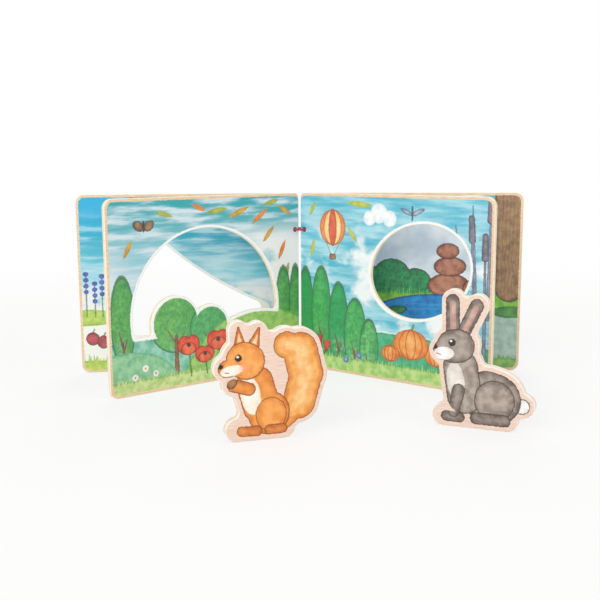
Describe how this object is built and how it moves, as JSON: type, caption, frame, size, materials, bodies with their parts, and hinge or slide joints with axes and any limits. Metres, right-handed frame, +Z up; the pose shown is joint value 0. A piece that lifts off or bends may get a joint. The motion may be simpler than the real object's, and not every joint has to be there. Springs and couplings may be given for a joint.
{
  "type": "childrens picture book",
  "caption": "Wooden board picture book standing open on its edges, its boards laced at the spine, with an arched, an oval and a hill window and loose squirrel and hare figures in front.",
  "frame": {"origin": "middle of the footprint, on the surface that the book stands on", "axes": "+X along the open spread to the reader's right, +Y away from the reader, +Z up"},
  "size_m": [0.3706, 0.2328, 0.15],
  "materials": {
    "page_board": "printed plywood with a bare border, satin",
    "cover_board": "printed plywood with a bare border, satin",
    "lacing_cord": "twisted red cotton cord",
    "figure_wood": "bare plywood, printed on the face"
  },
  "bodies": {
    "right_page": {"right_page": "page_board", "upper_cord": "lacing_cord", "lower_cord": "lacing_cord", "squirrel_figure": "figure_wood", "hare_figure": "figure_wood"},
    "left_page": {"left_page": "page_board"},
    "front_cover": {"front_cover": "cover_board"},
    "back_cover": {"back_cover": "cover_board"}
  },
  "joints": [
    {"name": "pages_hinge", "type": "hinge", "parent": "right_page", "child": "left_page", "pos_m": [0, 0.10513, 0.075], "axis": [0, 0, -1], "range_deg": [-102.4, 77.6], "deforming": ["upper_cord", "lower_cord"]},
    {"name": "back_cover_hinge", "type": "hinge", "parent": "right_page", "child": "back_cover", "pos_m": [0.00539, 0.11184, 0.075], "axis": [0, 0, 1], "range_deg": [-30.3, 149.7]},
    {"name": "front_cover_hinge", "type": "hinge", "parent": "left_page", "child": "front_cover", "pos_m": [-0.00539, 0.11184, 0.075], "axis": [0, 0, -1], "range_deg": [-30.3, 149.7]}
  ]
}
